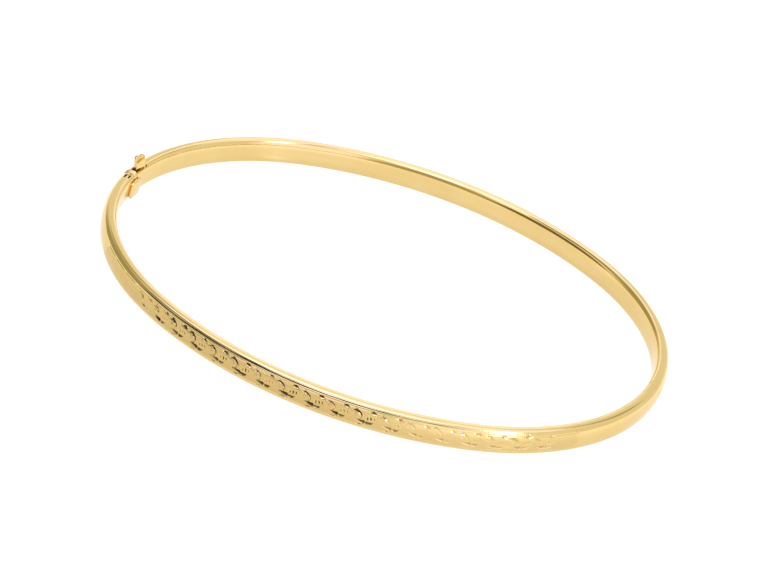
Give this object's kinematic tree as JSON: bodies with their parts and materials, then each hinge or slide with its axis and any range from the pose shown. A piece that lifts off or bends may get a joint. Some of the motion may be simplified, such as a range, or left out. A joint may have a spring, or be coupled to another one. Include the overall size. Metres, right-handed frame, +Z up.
{
  "type": "bangle bracelet",
  "caption": "Slim oval hinged bangle bracelet in polished yellow gold, hollow D-section halves, a scroll-engraved front half and a sprung tongue clasp with a thumb tab.",
  "frame": {"origin": "middle of the oval ring on the flat plane that its lower rims rest on", "axes": "+X along the oval's long way from the clasp to the hinge, +Y from the engraved front half towards the plain rear half, +Z up, away from the resting plane and along the hinge pin"},
  "size_m": [0.0632, 0.0558, 0.0042],
  "materials": {
    "polished_gold": "polished yellow gold",
    "engraved_gold": "polished yellow gold with diamond-cut scroll engraving on a satin ground",
    "spring_gold": "hard-rolled gold strip, lightly brushed",
    "hinge_gold": "turned gold, filed flush"
  },
  "bodies": {
    "rear_half": {"rear_shell": "polished_gold", "rear_liner": "polished_gold", "rear_hinge_cap": "polished_gold", "rear_knuckle_upper": "hinge_gold", "rear_knuckle_lower": "hinge_gold", "hinge_pin": "hinge_gold", "catch_lip": "polished_gold", "rear_box_wall": "polished_gold"},
    "front_half": {"front_shell": "engraved_gold", "front_liner": "polished_gold", "front_hinge_cap": "polished_gold", "front_knuckle": "hinge_gold", "front_clasp_collar": "polished_gold", "tongue_anchor": "polished_gold", "guard_plate": "polished_gold", "tongue_base": "spring_gold"},
    "clasp_tongue": {"tongue_leaf": "spring_gold", "thumb_tab": "polished_gold", "catch_lug": "spring_gold"}
  },
  "joints": [
    {"name": "bangle_hinge", "type": "hinge", "parent": "rear_half", "child": "front_half", "pos_m": [0.03104, 0, 0.0014], "axis": [0, 0, 1], "range_deg": [0, 50]},
    {"name": "thumb_press", "type": "hinge", "parent": "front_half", "child": "clasp_tongue", "pos_m": [-0.03066, 0.00412, 0.0014], "axis": [0, 0, 1], "range_deg": [0, 2.4]}
  ]
}
